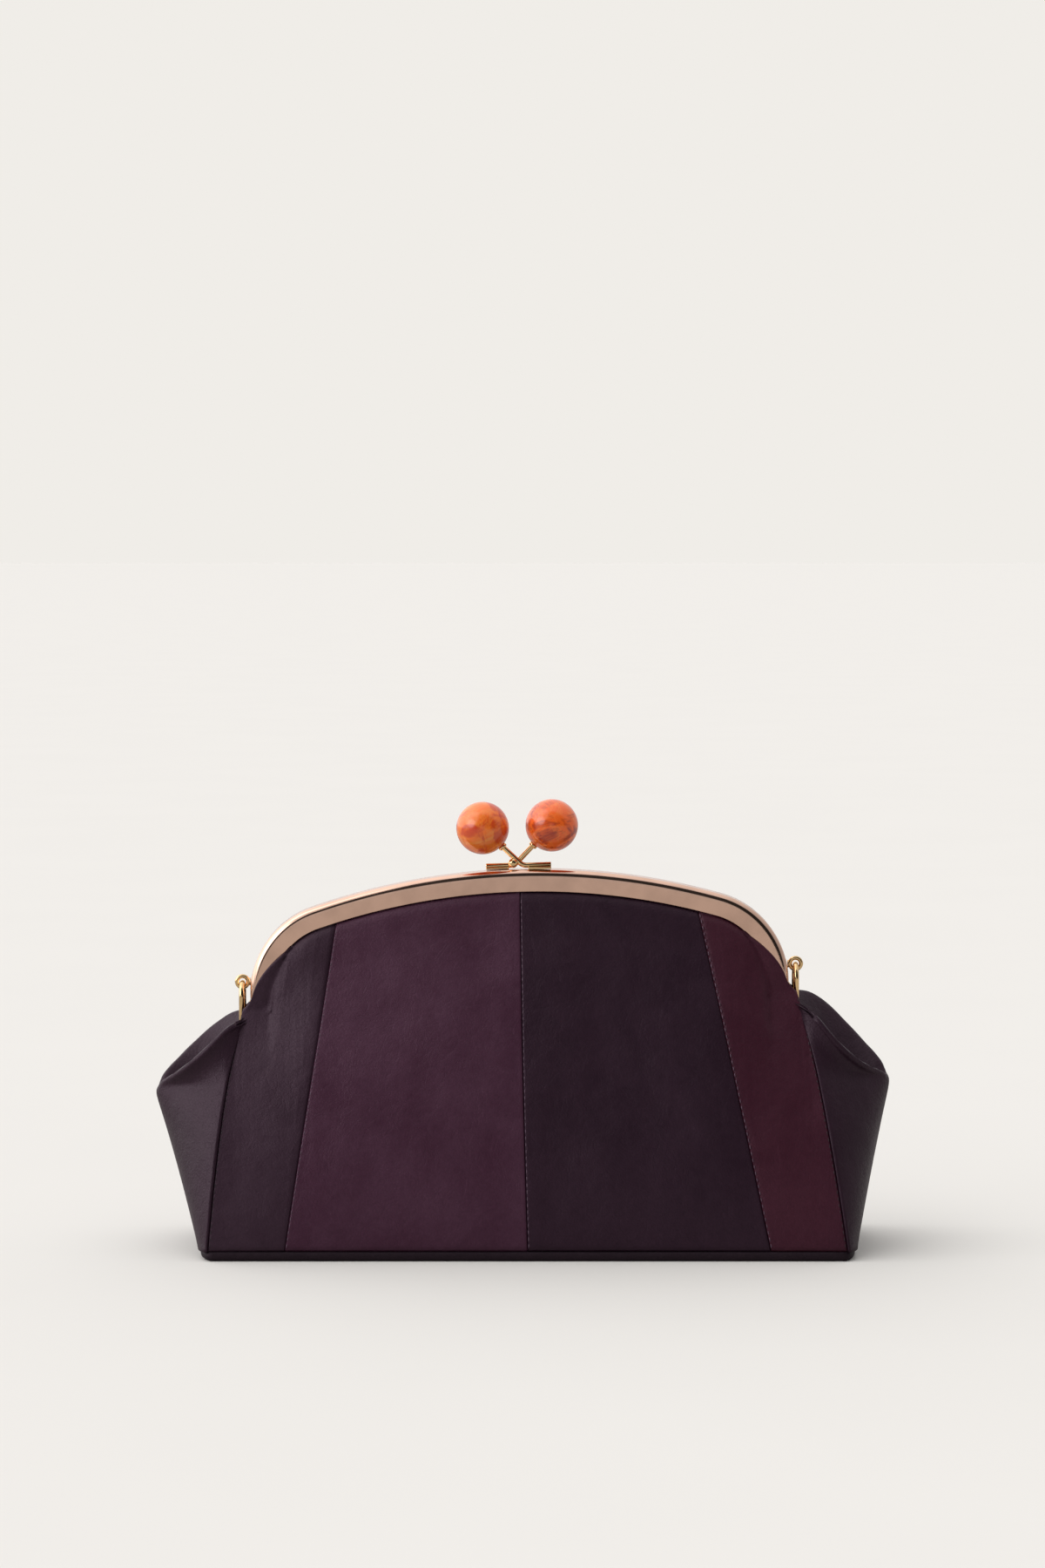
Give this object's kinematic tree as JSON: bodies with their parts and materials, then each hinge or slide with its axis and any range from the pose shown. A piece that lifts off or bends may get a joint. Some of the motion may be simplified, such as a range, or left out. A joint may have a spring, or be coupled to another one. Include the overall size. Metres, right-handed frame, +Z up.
{
  "type": "kiss lock frame purse",
  "caption": "Soft leather clutch purse hung from a hinged gold frame with a kiss lock of marbled balls, patchwork sides, folded gussets and rings for a strap.",
  "frame": {"origin": "on the floor under the middle of the bag's bounding box", "axes": "+X along the width to the right hand of someone facing the front, +Z up, the front faces -Y"},
  "size_m": [0.3024, 0.084, 0.1836],
  "materials": {
    "leather_plum": "smooth nappa leather, soft sheen",
    "leather_mauve_plum": "smooth nappa leather, soft sheen",
    "leather_dark_plum": "smooth nappa leather, soft sheen",
    "leather_wine": "smooth nappa leather, soft sheen",
    "leather_gusset": "smooth nappa leather, soft sheen",
    "leather_base": "smooth nappa leather, soft sheen",
    "lining": "plain woven cotton lining",
    "board": "pressed fibre board",
    "paper_cord": "twisted paper cord",
    "frame_gold": "polished pale gold plating",
    "small_gold": "polished gold plating",
    "ball": "polished marbled amber resin"
  },
  "bodies": {
    "bag": {"base_panel": "leather_base", "base_board": "board", "base_lining": "lining", "front_patch_far_left": "leather_plum", "front_patch_left": "leather_mauve_plum", "front_patch_right": "leather_dark_plum", "front_patch_far_right": "leather_wine", "rear_patch_far_left": "leather_wine", "rear_patch_left": "leather_dark_plum", "rear_patch_right": "leather_mauve_plum", "rear_patch_far_right": "leather_plum", "left_gusset": "leather_gusset", "right_gusset": "leather_gusset", "left_gusset_lining": "lining", "right_gusset_lining": "lining", "front_lining": "lining", "rear_lining": "lining", "inner_pocket": "lining"},
    "front_frame": {"front_frame_half": "frame_gold", "front_paper_cord": "paper_cord", "front_top_far_left": "leather_plum", "front_top_left": "leather_mauve_plum", "front_top_right": "leather_dark_plum", "front_top_far_right": "leather_wine", "front_top_lining": "lining", "front_clasp_plate": "small_gold", "front_clasp_arm": "small_gold", "snap_bead": "small_gold", "front_ball_collar": "small_gold", "front_ball": "ball", "hinge_rivets": "small_gold"},
    "rear_frame": {"rear_frame_half": "frame_gold", "rear_paper_cord": "paper_cord", "rear_top_far_left": "leather_wine", "rear_top_left": "leather_dark_plum", "rear_top_right": "leather_mauve_plum", "rear_top_far_right": "leather_plum", "rear_top_lining": "lining", "rear_clasp_plate": "small_gold", "rear_clasp_arm": "small_gold", "rear_ball_collar": "small_gold", "rear_ball": "ball", "ring_eyelets": "small_gold"},
    "left_ring": {"left_ring": "small_gold"},
    "right_ring": {"right_ring": "small_gold"}
  },
  "joints": [
    {"name": "front_frame_open", "type": "hinge", "parent": "bag", "child": "front_frame", "pos_m": [-0.00116, 0, 0.10294], "axis": [0.9995, 0, 0.0332], "range_deg": [0, 45]},
    {"name": "rear_frame_open", "type": "hinge", "parent": "bag", "child": "rear_frame", "pos_m": [-0.00116, 0, 0.10294], "axis": [0.9995, 0, 0.0332], "range_deg": [-45, 0]},
    {"name": "left_ring_swing", "type": "hinge", "parent": "rear_frame", "child": "left_ring", "pos_m": [-0.1153, 0.00125, 0.10796], "axis": [0, 1, 0], "range_deg": [0, 165]},
    {"name": "right_ring_swing", "type": "hinge", "parent": "rear_frame", "child": "right_ring", "pos_m": [0.11238, 0.00125, 0.11552], "axis": [0, -1, 0], "range_deg": [0, 165]}
  ],
  "couplings": [
    {"joint": "rear_frame_open", "follows": "front_frame_open", "ratio": -1}
  ]
}
